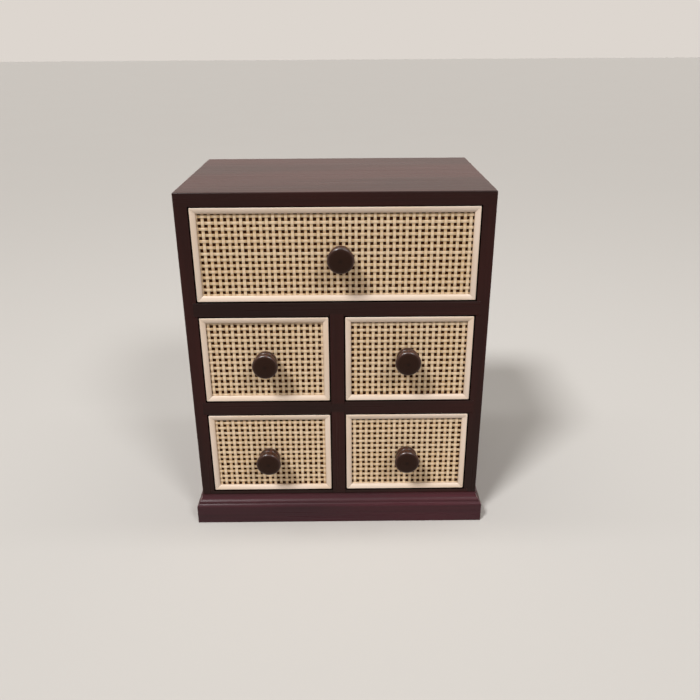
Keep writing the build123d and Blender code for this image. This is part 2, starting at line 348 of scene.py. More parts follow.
boardWork = {
    "ease": {"mahogany_lacquer": 0.65, "stained_board": 0.25, "drawer_plywood": 0.25}, "easeSteps": 2,
    "longEdge": 20, "sharpAngle": 40, "flatAngle": 0.5, "mergeWithin": 0.001, "offsetStep": 0.227,
    # the back panel's rear face lies in by so much, and its pin heads stand proud of it
    "pinnedFace": 0.15, "rearFaceWithin": 0.01,
    # a face looks forwards where its normal's y is under this
    "frontwards": -0.5, "stainShadeMargin": 0.1,
}
# the openings lie between the sides, under the top board and behind the front edges
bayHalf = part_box("right_side")[0].x + boardWork["stainShadeMargin"] * mm
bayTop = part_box("top_board")[0].z + boardWork["stainShadeMargin"] * mm
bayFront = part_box("left_side")[0].y + boardWork["stainShadeMargin"] * mm


def stainWithShadeFaces(mesh, chosen):
    # faces round the gap of a drawer get a stain darkened near to black with painted shade, so the gap stays
    # dark
    picked = [face for face in mesh.polygons if chosen(face)]
    if picked:
        mesh.materials.append(shadedGapStain)
    for face in picked:
        face.material_index = 1


def inOpening(face):
    centre = face.center
    behind = face.normal.y > boardWork["frontwards"] and centre.y > bayFront
    return behind and abs(centre.x) < bayHalf and centre.z < bayTop


def grainVectors(mesh, grainAxis, offset):
    # along the grain, across it and through the thickness, measured from the board's low corner
    points = [vertex.co.copy() for vertex in mesh.vertices]
    low = Vector([min(point[i] for point in points) for i in range(3)])
    high = Vector([max(point[i] for point in points) for i in range(3)])
    size = high - low
    thin = min(range(3), key=lambda i: size[i])
    wide = 3 - thin - grainAxis
    return [(p[grainAxis] - low[grainAxis] + offset, p[wide] - low[wide] + offset, p[thin] - low[thin])
            for p in points]


def dressBoard(number, node, body, slot, grainAxis):
    # a copy of the sawn part, triangles merged into whole faces, long outer edges eased
    build = bmesh.new()
    build.from_mesh(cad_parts[node].data)
    bmesh.ops.remove_doubles(build, verts=build.verts, dist=boardWork["mergeWithin"] * mm)
    bmesh.ops.dissolve_limit(build, angle_limit=math.radians(boardWork["flatAngle"]), verts=build.verts,
                             edges=build.edges)
    if node == "back_panel":
        rear = max(vertex.co.y for vertex in build.verts)
        for vertex in build.verts:
            if vertex.co.y > rear - boardWork["rearFaceWithin"] * mm:
                vertex.co.y -= boardWork["pinnedFace"] * mm
    sharp = math.radians(boardWork["sharpAngle"])
    longEdges = [edge for edge in build.edges if edge.is_manifold and edge.is_convex
                 and edge.calc_face_angle(0) > sharp and edge.calc_length() > boardWork["longEdge"] * mm]
    bmesh.ops.bevel(build, geom=longEdges, offset=boardWork["ease"][slot] * mm,
                    segments=boardWork["easeSteps"], profile=0.5, affect="EDGES", clamp_overlap=True)
    mesh = toMesh(build, camelName(node))
    storeVectors(mesh, "boardGrain", grainVectors(mesh, grainAxis, number * boardWork["offsetStep"]))
    piece = linkObject(camelName(node), mesh, finishes[slot])
    # faces inside the drawer openings get the stain with painted shade
    if slot == "mahogany_lacquer":
        stainWithShadeFaces(mesh, inOpening)
    settle(piece, body, slot, node)


# the axis that each board's grain follows: 0 across, 1 front to back, 2 upright
carcassGrain = {
    "left_side": 2, "right_side": 2, "top_board": 0, "bottom_board": 0, "lower_shelf": 0, "upper_shelf": 0,
    "lower_divider": 2, "upper_divider": 2, "toe_rail": 0,
}
boards = [(node, "carcass", "mahogany_lacquer", grainAxis) for node, grainAxis in carcassGrain.items()]
boards.append(("back_panel", "carcass", "stained_board", 2))
drawerNames = ["top_drawer", "middle_left_drawer", "middle_right_drawer", "bottom_left_drawer",
               "bottom_right_drawer"]
for drawer in drawerNames:
    boards.append((f"{drawer}_front_board", drawer, "stained_board", 0))
    boards += [(f"{drawer}_{part}", drawer, "drawer_plywood", grainAxis)
               for part, grainAxis in (("bottom", 0), ("back", 0), ("side_left", 1), ("side_right", 1))]
for number, (node, body, slot, grainAxis) in enumerate(boards, 1):
    dressBoard(number, node, body, slot, grainAxis)
print("boards dressed:", len(boards))


def arcPoints(centre, radius, startAngle, endAngle, steps):
    angles = [math.radians(startAngle + (endAngle - startAngle) * i / steps) for i in range(steps + 1)]
    return [(centre[0] + radius * math.cos(a), centre[1] + radius * math.sin(a)) for a in angles]


def bridge(build, rings):
    # faces from ring to ring; a ring of one vertex is a pole
    for first, second in zip(rings, rings[1:]):
        count = max(len(first), len(second))
        for i in range(count):
            j = (i + 1) % count
            corners = [first[i % len(first)], first[j % len(first)],
                       second[j % len(second)], second[i % len(second)]]
            build.faces.new(list(dict.fromkeys(corners)))


def addRun(build, grain, section, corner, along, outward, level, length, cuts, joint, offset):
    # a moulding: section points are (outward, level) in metres; of the two cuts, 1 shortens the run with the
    # outward distance, -1 lengthens it and 0 is square; at a mitre the ends draw in a little, which shows as
    # a hairline
    middle = (sum(p for p, q in section) / len(section), sum(q for p, q in section) / len(section))
    rings = []
    for atEnd, cut in enumerate(cuts):
        stations = [(0.0, 1 - joint["shrink"]), (joint["run"] * mm, 1.0)] if cut else [(0.0, 1.0)]
        if atEnd:
            stations.reverse()
        for back, share in stations:
            ring = []
            for p, q in section:
                sp = middle[0] + (p - middle[0]) * share
                sq = middle[1] + (q - middle[1]) * share
                travel = cut * sp + back + (joint["gap"] * mm if cut else 0)
                travel = length - travel if atEnd else travel
                ring.append(build.verts.new(corner + along * travel + outward * sp + level * sq))
                grain.append((travel + offset, sp + sq + offset, sq))
            rings.append(ring)
    bridge(build, rings)
    build.faces.new(rings[0])
    build.faces.new(list(reversed(rings[-1])))


def finishRuns(build, grain, node, body, slot, smoothAngle):
    build.verts.index_update()
    bmesh.ops.recalc_face_normals(build, faces=build.faces)
    mesh = toMesh(build, camelName(node))
    storeVectors(mesh, "boardGrain", grain)
    smoothUnder(mesh, smoothAngle)
    return settle(linkObject(camelName(node), mesh, finishes[slot]), body, slot, node)


mitredFrame = {
    "inset": 0.45, "draft": 0.75, "width": 5.3, "arris": 0.7, "arrisSteps": 5, "land": 1.6, "fallRun": 3.5,
    "fallDrop": 0.9, "fallSteps": 8, "stepEase": 0.2, "foldBack": 2.2, "rebate": 2.0, "sideDeep": 1.0,
    "offsetStep": 0.31, "smooth": 35, "joint": {"gap": 0.08, "shrink": 0.07, "run": 0.3},
}
backwards, rightwards, upwards = Vector((0, 1, 0)), Vector((1, 0, 0)), Vector((0, 0, 1))


def frameSection(depth):
    # side leaning in behind a round arris, narrow land, round fall to a step over the cane, and the rebate
    # behind; (0, 0) is the stick's outer edge in the plane of the drawer front
    look = mitredFrame
    arris, land, width, foldBack = look["arris"], look["land"], look["width"], look["foldBack"]
    points = [(look["draft"], depth / mm)]
    points += arcPoints((look["inset"] + arris, arris), arris, 180, 270, look["arrisSteps"])
    points += [(land, 0)]
    radius = (look["fallRun"] ** 2 + look["fallDrop"] ** 2) / (2 * look["fallDrop"])
    sweep = math.degrees(math.asin(look["fallRun"] / radius))
    points += arcPoints((land, radius), radius, -90, -90 + sweep, look["fallSteps"])[1:]
    points += [(width, look["fallDrop"] + look["stepEase"]), (width, foldBack),
               (width - look["rebate"], foldBack), (width - look["rebate"], depth / mm)]
    return [(p * mm, q * mm) for p, q in points]


for number, drawer in enumerate(drawerNames):
    low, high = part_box(f"{drawer}_frame")
    section = frameSection(high.y - low.y)
    wide, tall = high.x - low.x, high.z - low.z
    sticks = [
        (low.x, low.z, rightwards, upwards, wide), (high.x, low.z, upwards, -rightwards, tall),
        (high.x, high.z, -rightwards, -upwards, wide), (low.x, high.z, -upwards, rightwards, tall),
    ]
    build, grain = bmesh.new(), []
    for side, (x, z, along, inward, length) in enumerate(sticks):
        addRun(build, grain, section, Vector((x, low.y, z)), along, inward, backwards, length, (1, 1),
               mitredFrame["joint"], mitredFrame["offsetStep"] * (len(sticks) * number + side))
    piece = finishRuns(build, grain, f"{drawer}_frame", drawer, "cream_moulding", mitredFrame["smooth"])
    # the sticks' outer sides get the stain with painted shade, so the gap round the frame stays dark
    stainWithShadeFaces(piece.data, lambda face: face.center.y - low.y > mitredFrame["arris"] * mm and min(
        face.center.x - low.x, high.x - face.center.x, face.center.z - low.z, high.z - face.center.z)
        < mitredFrame["sideDeep"] * mm)
print("mitred frames made:", len(drawerNames))

plinth = {
    "top": 28.5, "topEdge": 0.6, "coveFoot": (2.4, 22.4), "coveRadius": 5.6, "coveSteps": 8,
    "upperLedge": (3.1, 21.9), "ledgeDrop": (3.4, 19.8), "lowerLedge": (4.4, 18.8), "reach": 5.3,
    "arrisTop": 17.4, "arrisShares": (0.3, 0.6, 0.85), "footArris": 0.5, "offset": 1.7, "offsetStep": 0.4,
    "smooth": 32, "joint": {"gap": 0.0, "shrink": 0.0, "run": 0.3},
}


def plinthSection():
    # cove, two small ledges that catch the light, and a plain fascia, with the flat back on the carcass
    look = plinth
    start, foot = Vector((look["topEdge"], look["top"])), Vector(look["coveFoot"])
    span = foot - start
    # the cove's centre lies on the outer side, so the arc hollows towards the carcass
    rise = math.sqrt(look["coveRadius"] ** 2 - (span.length / 2) ** 2)
    centre = (foot + start) / 2 + Vector((-span.y, span.x)).normalized() * rise
    first, last = (math.degrees(math.atan2(*reversed(end - centre))) % 360 for end in (start, foot))
    points = [(0, 0), (0, look["top"])]
    points += arcPoints(centre, look["coveRadius"], first, last, look["coveSteps"])
    points += [look["upperLedge"], look["ledgeDrop"], look["lowerLedge"]]
    (ledgeOut, ledgeTop), reach, arrisTop = look["lowerLedge"], look["reach"], look["arrisTop"]
    for share in look["arrisShares"]:
        turned = math.radians(90 * share)
        points.append((ledgeOut + (reach - ledgeOut) * math.sin(turned),
                       arrisTop + (ledgeTop - arrisTop) * math.cos(turned)))
    points += [(reach, arrisTop), (reach, look["footArris"]), (reach - look["footArris"], 0)]
    return [(p * mm, q * mm) for p, q in points]


leftLow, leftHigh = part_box("left_side")
rightLow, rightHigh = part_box("right_side")
leftFoot, rightFoot = Vector((leftLow.x, leftLow.y, 0)), Vector((rightHigh.x, rightLow.y, 0))
runs = [
    ("plinth_front", leftFoot, rightwards, -backwards, rightHigh.x - leftLow.x, (-1, -1)),
    ("plinth_left", leftFoot, backwards, -rightwards, leftHigh.y - leftLow.y, (-1, 0)),
    ("plinth_right", rightFoot, backwards, rightwards, rightHigh.y - rightLow.y, (-1, 0)),
]
for number, (node, corner, along, outward, length, cuts) in enumerate(runs):
    build, grain = bmesh.new(), []
    addRun(build, grain, plinthSection(), corner, along, outward, upwards, length, cuts, plinth["joint"],
           plinth["offset"] + plinth["offsetStep"] * number)
    piece = finishRuns(build, grain, node, "carcass", "mahogany_lacquer", plinth["smooth"])
    # the plinth's lacquer carries painted bounce light from the floor
    piece.data.materials[0] = mouldingBounceLacquer
print("plinth mouldings made:", len(runs))


def addRing(build, centre, out, radii):
    # vertices round the axis that runs from centre towards the front, one for each radius
    angles = [2 * math.pi * i / len(radii) for i in range(len(radii))]
    return [build.verts.new(centre + Vector((radius * math.cos(a), -out, radius * math.sin(a))))
            for radius, a in zip(radii, angles)]


def turn(outline, segments, centre, name):
    # outline is (distance towards the front, radius); first and last points lie on the axis
    build = bmesh.new()
    bridge(build, [addRing(build, centre, out, [radius] * (segments if radius > 0 else 1))
                   for out, radius in outline])
    return cleanMesh(build, name)


knobTurning = {
    "baseRadius": 5.4, "boreRadius": 1.6, "boreDepth": 14.0, "segments": 72, "stepsPerCurve": 6, "smooth": 32,
    # distance from the cane, radius there, bulge of the curve that ends there
    "turnings": [
        (0.8, 5.6, 0.1), (5.7, 8.9, -0.5), (10.3, 9.0, 0.45), (10.9, 8.7, -0.15), (14.9, 9.0, 0.45),
        (15.6, 8.7, -0.2), (16.9, 10.4, -0.2), (17.5, 10.8, 0.1), (18.5, 10.8, 0.0), (20.0, 9.5, 0.35),
    ],
    "length": 20.7, "endGrainFrom": 19.6, "endGrainFade": 0.5, "offsetStep": 0.2,
}


def knobOutline():
    work = knobTurning
    steps, length = work["stepsPerCurve"], work["length"]
    outline = [(work["boreDepth"], 0), (work["boreDepth"], work["boreRadius"]), (0, work["boreRadius"]),
               (0, work["baseRadius"])]
    for out, radius, bulge in work["turnings"]:
        lastOut, lastRadius = outline[-1]
        for t in [i / steps for i in range(1, steps + 1)] if bulge else [1.0]:
            arch = 4 * bulge * t * (1 - t)
            outline.append((lastOut + (out - lastOut) * t, lastRadius + (radius - lastRadius) * t + arch))
    edgeOut, edgeRadius = outline[-1]
    outline += [(length - (length - edgeOut) * (i / steps) ** 2, edgeRadius * i / steps)
                for i in reversed(range(steps))]
    return [(out * mm, radius * mm) for out, radius in outline]


screwWork = {
    "headRadius": 3.2, "headHeight": 2.2, "headCorner": 1.3, "cornerSteps": 6, "segments": 40, "smooth": 35,
    "shankRadius": 1.5, "threadDepth": 0.28, "threadPitch": 1.25, "threadSegments": 16, "ringsPerPitch": 6,
    "tipLength": 3.0, "tipShare": 0.25,
    "recessWidth": 0.95, "recessLength": 3.9, "recessDepth": 1.25, "recessTaper": 0.55, "cutterReach": 0.5,
}


def screwHeadOutline():
    work = screwWork
    corner, height, radius = work["headCorner"], work["headHeight"], work["headRadius"]
    dome = arcPoints((corner - height, radius - corner), corner, 180, 90, work["cornerSteps"])
    return [(p * mm, q * mm) for p, q in [(-height, 0), *dome, (0, radius), (0, 0)]]


def threadMesh(centre, length, name):
    # shank whose radius rises and falls with a helix and tapers at the tip; both ends closed
    work = screwWork
    around = work["threadSegments"]
    count = int(length / mm / work["threadPitch"] * work["ringsPerPitch"])
    build = bmesh.new()
    rings = []
    for k in range(count + 1):
        out = length * k / count
        taper = min(1.0, work["tipShare"] + (length - out) / (work["tipLength"] * mm))
        phases = [(out / mm / work["threadPitch"] + i / around) % 1.0 for i in range(around)]
        cuts = [work["threadDepth"] * abs(2 * phase - 1) for phase in phases]
        rings.append(addRing(build, centre, out, [(work["shankRadius"] - cut) * taper * mm for cut in cuts]))
    bridge(build, rings)
    build.faces.new(rings[0])
    build.faces.new(rings[-1])
    return cleanMesh(build, name)


def cutRecess(piece, centre):
    # crossed slots in the head, for a cross-point driver
    work = screwWork
    long, narrow, height = work["recessLength"], work["recessWidth"], work["headHeight"]
    build = bmesh.new()
    for wide, tall in ((long, narrow), (narrow, long)):
        for vertex in bmesh.ops.create_cube(build, size=1.0)["verts"]:
            deep = vertex.co.y < 0
            shrink = work["recessTaper"] if deep else 1.0
            away = height - work["recessDepth"] if deep else height + work["cutterReach"]
            vertex.co = centre + Vector((vertex.co.x * wide * shrink, away, vertex.co.z * tall * shrink)) * mm
    cutter = linkObject("recessCutter", cleanMesh(build, "recessCutter"))
    modifier = piece.modifiers.new("recess", "BOOLEAN")
    modifier.operation, modifier.solver, modifier.object = "DIFFERENCE", "EXACT", cutter
    modifier.use_self = True
    graph = bpy.context.evaluated_depsgraph_get()
    cut = bpy.data.meshes.new_from_object(piece.evaluated_get(graph))
    piece.modifiers.remove(modifier)
    piece.data = cut
    bpy.data.objects.remove(cutter)


def joinMeshes(name, meshes):
    build = bmesh.new()
    for mesh in meshes:
        build.from_mesh(mesh)
    return toMesh(build, name)


for number, drawer in enumerate(drawerNames):
    node = f"{drawer}_knob"
    low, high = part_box(node)
    centre = Vector(((low.x + high.x) / 2, high.y, (low.z + high.z) / 2))
    mesh = turn(knobOutline(), knobTurning["segments"], centre, camelName(node))
    # the knob's grain runs along its axis
    offset = knobTurning["offsetStep"] * number
    fromAxis = [vertex.co - centre for vertex in mesh.vertices]
    storeVectors(mesh, "boardGrain", [(offset - p.y, p.x + offset, p.z) for p in fromAxis])
    storeValues(mesh, "endGrain", [min(1.0, max(0.0, (-p.y / mm - knobTurning["endGrainFrom"])
                                                / knobTurning["endGrainFade"])) for p in fromAxis])
    storeValues(mesh, "turnRadius", [math.hypot(p.x, p.z) for p in fromAxis])
    smoothUnder(mesh, knobTurning["smooth"])
    settle(linkObject(camelName(node), mesh, finishes["turned_knob"]), drawer, "turned_knob", node)

    node = f"{drawer}_knob_screw"
    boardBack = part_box(f"{drawer}_front_board")[1].y
    seat = Vector((centre.x, boardBack, centre.z))
    head = linkObject("screwHead", turn(screwHeadOutline(), screwWork["segments"], seat, "screwHead"))
    cutRecess(head, seat)
    thread = threadMesh(seat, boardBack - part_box(node)[0].y, "screwThread")
    screw = joinMeshes(camelName(node), [head.data, thread])
    bpy.data.objects.remove(head)
    smoothUnder(screw, screwWork["smooth"])
    settle(linkObject(camelName(node), screw, finishes["zinc_screw"]), drawer, "zinc_screw", node)
print("knobs and screws turned:", len(drawerNames))


def startTree(name, inputs):
    tree = bpy.data.node_groups.new(name, "GeometryNodeTree")
    tree.interface.new_socket("Geometry", in_out="INPUT", socket_type="NodeSocketGeometry")
    for label, kind in inputs.items():
        tree.interface.new_socket(label, in_out="INPUT", socket_type=f"NodeSocket{kind}")
    tree.interface.new_socket("Geometry", in_out="OUTPUT", socket_type="NodeSocketGeometry")
    return tree, tree.nodes.new("NodeGroupInput").outputs


def endTree(tree, parts, material):
    joined = addNode(tree, "GeometryNodeJoinGeometry")
    for part in parts:
        tree.links.new(part.outputs[0], joined.inputs[0])
    real = addNode(tree, "GeometryNodeRealizeInstances", {0: joined})
    painted = addNode(tree, "GeometryNodeSetMaterial", {0: real, "Material": material})
    addNode(tree, "NodeGroupOutput", {0: painted})


def grow(name, tree, values):
    # runs the tree on an empty mesh and keeps the result as a plain mesh
    holder = linkObject(name, bpy.data.meshes.new(name))
    modifier = holder.modifiers.new(tree.name, "NODES")
    modifier.node_group = tree
    for item in tree.interface.items_tree:
        if item.in_out == "INPUT" and item.name in values:
            modifier[item.identifier] = values[item.name]
    graph = bpy.context.evaluated_depsgraph_get()
    grown = bpy.data.meshes.new_from_object(holder.evaluated_get(graph), preserve_all_data_layers=True,
                                            depsgraph=graph)
    holder.modifiers.remove(modifier)
    holder.data = grown
    return holder


caneWebbing = {
    "strandWidth": 2.5, "strandThick": 0.52, "lift": 0.24, "stray": 0.22, "wander": 0.5, "wanderScale": 45,
    "strandStep": 7.31,  # how far apart two strands read the same noise
    "sides": 10, "samplesPerCrossing": 4, "play": 0.1, "smooth": 60,
    # middle of the first full hole from the frame's outer left and top edges, and the mesh both ways
    "webs": {
        "top_drawer": {"hole": (12.63, 10.20), "pitch": (5.075, 5.07), "seed": 11},
        "middle_left_drawer": {"hole": (9.64, 8.52), "pitch": (5.055, 5.155), "seed": 23},
        "middle_right_drawer": {"hole": (11.45, 10.12), "pitch": (5.09, 5.165), "seed": 37},
        "bottom_left_drawer": {"hole": (8.70, 11.60), "pitch": (5.055, 5.05), "seed": 41},
        "bottom_right_drawer": {"hole": (10.81, 10.72), "pitch": (5.06, 5.035), "seed": 59},
    },
}


def caneWeaveTree():
    # plain weave of flat strands: every strand dips and rises by half a turn from crossing to crossing
    kinds = {"Face": "Float", "Strand Width": "Float", "Strand Thickness": "Float", "Lift": "Float",
             "Stray": "Float", "Wander": "Float", "Seed": "Int", "Material": "Material"}
    for way in ("Upright", "Level"):
        kinds |= {f"{way} Count": "Int", f"{way} Samples": "Int", f"{way} First": "Float",
                  f"{way} Pitch": "Float", f"{way} Start": "Float", f"{way} End": "Float"}
    tree, given = startTree("caneWeave", kinds)
    woven = []
    for way, other, sign in (("Upright", "Level", 1.0), ("Level", "Upright", -1.0)):
        # strands are laid along X at steps in Y, and turned into the drawer front at the end
        place = {part: addNode(tree, "ShaderNodeCombineXYZ", {axis: given[f"{way} {part}"]})
                 for part, axis in (("First", "Y"), ("Pitch", "Y"), ("Start", "X"), ("End", "X"))}
        rack = addNode(tree, "GeometryNodeMeshLine", {
            "Count": given[f"{way} Count"], "Start Location": place["First"], "Offset": place["Pitch"]})
        least = addNode(tree, "ShaderNodeMath", {0: given["Stray"], 1: -1.0}, operation="MULTIPLY")
        stray = addNode(tree, "FunctionNodeRandomValue", {2: least, 3: given["Stray"], "Seed": given["Seed"]},
                        data_type="FLOAT")
        strayOff = addNode(tree, "ShaderNodeCombineXYZ", {"Y": stray.outputs[1]})
        placed = addNode(tree, "GeometryNodeSetPosition", {"Geometry": rack, "Offset": strayOff})
        line = addNode(tree, "GeometryNodeCurvePrimitiveLine", {"Start": place["Start"], "End": place["End"]})
        sampled = addNode(tree, "GeometryNodeResampleCurve", {"Curve": line,
                                                              "Count": given[f"{way} Samples"]})
        laid = addNode(tree, "GeometryNodeInstanceOnPoints", {"Points": placed, "Instance": sampled})
        strands = addNode(tree, "GeometryNodeRealizeInstances", {0: laid})

        # how many pitches each point lies from the first strand of its own way and of the other
        spot = addNode(tree, "ShaderNodeSeparateXYZ", {0: addNode(tree, "GeometryNodeInputPosition")})
        steps = {}
        for counted, axis in ((way, "Y"), (other, "X")):
            fromFirst = addNode(tree, "ShaderNodeMath", {0: spot.outputs[axis], 1: given[f"{counted} First"]},
                                operation="SUBTRACT")
            steps[counted] = addNode(tree, "ShaderNodeMath", {0: fromFirst, 1: given[f"{counted} Pitch"]},
                                     operation="DIVIDE")
        number = addNode(tree, "FunctionNodeFloatToInt", {0: steps[way]}, rounding_mode="ROUND")
        phase = addNode(tree, "ShaderNodeMath", {0: steps[other], 1: number}, operation="ADD")
        turned = addNode(tree, "ShaderNodeMath", {0: phase, 1: math.pi}, operation="MULTIPLY")
        swing = addNode(tree, "ShaderNodeMath", {0: turned}, operation="COSINE")
        rise = addNode(tree, "ShaderNodeMath", {0: swing, 1: given["Lift"]}, operation="MULTIPLY")
        apart = addNode(tree, "ShaderNodeMath", {0: number, 1: caneWebbing["strandStep"]},
                        operation="MULTIPLY")
        noiseSpot = addNode(tree, "ShaderNodeCombineXYZ", {"X": spot.outputs["X"], "Y": apart,
                                                           "Z": given["Seed"]})
        noise = addNode(tree, "ShaderNodeTexNoise", {"Vector": noiseSpot, "Scale": caneWebbing["wanderScale"],
                                                     "Detail": 1})
        centred = addNode(tree, "ShaderNodeMath", {0: noise, 1: 0.5}, operation="SUBTRACT")
        wander = addNode(tree, "ShaderNodeMath", {0: centred, 1: given["Wander"]}, operation="MULTIPLY")
        bend = addNode(tree, "ShaderNodeCombineXYZ", {"Y": wander, "Z": rise})
        strands = addNode(tree, "GeometryNodeSetPosition", {"Geometry": strands, "Offset": bend})

        # what the cane's finish reads: a tone for each strand, the way along it, and where it dips
        tint = addNode(tree, "FunctionNodeRandomValue", {2: 0.0, 3: 1.0, "ID": number, "Seed": given["Seed"]},
                       data_type="FLOAT")
        run = addNode(tree, "ShaderNodeMath", {0: apart, 1: spot.outputs["X"]}, operation="ADD")
        lowness = addNode(tree, "ShaderNodeMapRange", {0: swing, 1: -sign, 2: sign})
        for name, value in (("strandTint", tint.outputs[1]), ("strandRun", run), ("strandLow", lowness)):
            strands = addNode(tree, "GeometryNodeStoreNamedAttribute",
                              {"Geometry": strands, "Name": name, "Value": value})
        upright = addNode(tree, "GeometryNodeSetCurveNormal", {"Curve": strands, "Normal": (0, 0, 1)},
                          mode="FREE")

        oval = addNode(tree, "GeometryNodeCurvePrimitiveCircle", {"Resolution": caneWebbing["sides"],
                                                                  "Radius": 0.5})
        ovalSpot = addNode(tree, "ShaderNodeSeparateXYZ", {0: addNode(tree, "GeometryNodeInputPosition")})
        marked = addNode(tree, "GeometryNodeStoreNamedAttribute",
                         {"Geometry": oval, "Name": "strandAcross", "Value": ovalSpot.outputs["Y"]})
        size = addNode(tree, "ShaderNodeCombineXYZ", {"X": given["Strand Thickness"],
                                                      "Y": given["Strand Width"], "Z": 1.0})
        flat = addNode(tree, "GeometryNodeTransform", {"Geometry": marked, "Scale": size})
        swept = addNode(tree, "GeometryNodeCurveToMesh", {"Curve": upright, "Profile Curve": flat,
                                                          "Fill Caps": True})
        sweptSpot = addNode(tree, "ShaderNodeSeparateXYZ", {0: addNode(tree, "GeometryNodeInputPosition")})
        facing = addNode(tree, "ShaderNodeMath", {0: sweptSpot.outputs["Z"], 1: sign, 2: given["Face"]},
                         operation="MULTIPLY_ADD")
        lengthways, sideways = ("Z", "X") if way == "Upright" else ("X", "Z")
        target = addNode(tree, "ShaderNodeCombineXYZ", {lengthways: sweptSpot.outputs["X"],
                                                        sideways: sweptSpot.outputs["Y"], "Y": facing})
        woven.append(addNode(tree, "GeometryNodeSetPosition", {"Geometry": swept, "Position": target}))
    endTree(tree, woven, given["Material"])
    return tree


def strandRow(anchor, pitch, low, high):
    # first strand inside low, and how many strands reach to high; anchor is one strand's place
    half = caneWebbing["strandWidth"] * mm / 2
    first = anchor - math.floor((anchor - half - low) / pitch) * pitch
    return first, int((high - half - first) / pitch) + 1


caneTree = caneWeaveTree()
for drawer, web in caneWebbing["webs"].items():
    node = f"{drawer}_cane"
    outer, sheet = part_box(f"{drawer}_frame"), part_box(node)
    pitchX, pitchZ = (p * mm for p in web["pitch"])
    holeX, holeZ = outer[0].x + web["hole"][0] * mm, outer[1].z - web["hole"][1] * mm
    play, samples = caneWebbing["play"] * mm, caneWebbing["samplesPerCrossing"]
    values = {
        "Face": (sheet[0].y + sheet[1].y) / 2, "Strand Width": caneWebbing["strandWidth"] * mm,
        "Strand Thickness": caneWebbing["strandThick"] * mm, "Lift": caneWebbing["lift"] * mm,
        "Stray": caneWebbing["stray"] * mm, "Wander": caneWebbing["wander"] * mm, "Seed": web["seed"],
        "Material": finishes["cane_webbing"],
    }
    for way, hole, pitch, axis, otherPitch, otherAxis in (("Upright", holeX, pitchX, 0, pitchZ, 2),
                                                          ("Level", holeZ, pitchZ, 2, pitchX, 0)):
        first, count = strandRow(hole - pitch / 2, pitch, sheet[0][axis], sheet[1][axis])
        start, end = sheet[0][otherAxis], sheet[1][otherAxis]
        values |= {f"{way} Count": count, f"{way} First": first, f"{way} Pitch": pitch,
                   f"{way} Start": start + play, f"{way} End": end - play,
                   f"{way} Samples": int((end - start) / otherPitch * samples) + 1}
    piece = grow(camelName(node), caneTree, values)
    smoothUnder(piece.data, caneWebbing["smooth"])
    settle(piece, drawer, "cane_webbing", node)
    print(f"{drawer} cane: {values['Upright Count']} upright and {values['Level Count']} level strands,",
          len(piece.data.polygons), "faces")

pins = {
    "radius": 1.0, "crownShare": 0.7, "sides": 14, "height": 0.5, "proud": 0.12, "panelEdge": 2.6,
    "panelFoot": 8, "panelInset": 40, "across": 4, "up": 6, "boxInset": 9, "perCorner": 3,
}


def pinRowTree():
    # a row of small domed pin heads
    kinds = {"Start": "Vector", "End": "Vector", "Count": "Int", "Turn": "Rotation", "Head Radius": "Float",
             "Head Height": "Float", "Material": "Material"}
    tree, given = startTree("pinRow", kinds)
    row = addNode(tree, "GeometryNodeMeshLine", {"Count": given["Count"], "Start Location": given["Start"],
                                                 "Offset": given["End"]}, mode="END_POINTS")
    crownRadius = addNode(tree, "ShaderNodeMath", {0: given["Head Radius"], 1: pins["crownShare"]},
                          operation="MULTIPLY")
    head = addNode(tree, "GeometryNodeMeshCone", {"Vertices": pins["sides"], "Radius Top": crownRadius,
                                                  "Radius Bottom": given["Head Radius"],
                                                  "Depth": given["Head Height"]})
    heads = addNode(tree, "GeometryNodeInstanceOnPoints", {"Points": row, "Instance": head,
                                                           "Rotation": given["Turn"]})
    endTree(tree, [heads], given["Material"])
    return tree


pinTree = pinRowTree()


def pinRows(name, body, rows):
    # a row is its first pin, its last pin, how many, and the turn that points the heads outwards
    parts = []
    for start, end, count, turned in rows:
        row = grow(name, pinTree, {"Start": start, "End": end, "Count": count, "Turn": turned,
                                   "Head Radius": pins["radius"] * mm, "Head Height": pins["height"] * mm,
                                   "Material": finishes["zinc_screw"]})
        parts.append(row.data)
        bpy.data.objects.remove(row)
    settle(linkObject(name, joinMeshes(name, parts), finishes["zinc_screw"]), body, "zinc_screw")


low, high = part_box("back_panel")
edge, inset = pins["panelEdge"] * mm, pins["panelInset"] * mm
seatY = high.y - pins["height"] * mm
left, right, bottom, top = low.x + edge, high.x - edge, low.z + pins["panelFoot"] * mm, high.z - edge
rearwards = (math.radians(-90), 0, 0)
rows = [(Vector((x, seatY, bottom)), Vector((x, seatY, top)), pins["up"], rearwards) for x in (left, right)]
rows.append((Vector((left + inset, seatY, top)), Vector((right - inset, seatY, top)), pins["across"],
             rearwards))
pinRows("backPanelPins", "carcass", rows)

for drawer in drawerNames:
    # the sides are pinned to the box's back
    backLow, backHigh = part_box(f"{drawer}_back")
    pinY, inset = (backLow.y + backHigh.y) / 2, pins["boxInset"] * mm
    rows = []
    for hand, facing in (("left", -1), ("right", 1)):
        low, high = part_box(f"{drawer}_side_{hand}")
        seatX = (low.x if facing < 0 else high.x) - facing * (pins["height"] - pins["proud"]) * mm
        rows.append((Vector((seatX, pinY, low.z + inset)), Vector((seatX, pinY, high.z - inset)),
                     pins["perCorner"], (0, math.radians(90 * facing), 0)))
    pinRows(f"{camelName(drawer)}Pins", drawer, rows)
print("pins driven")

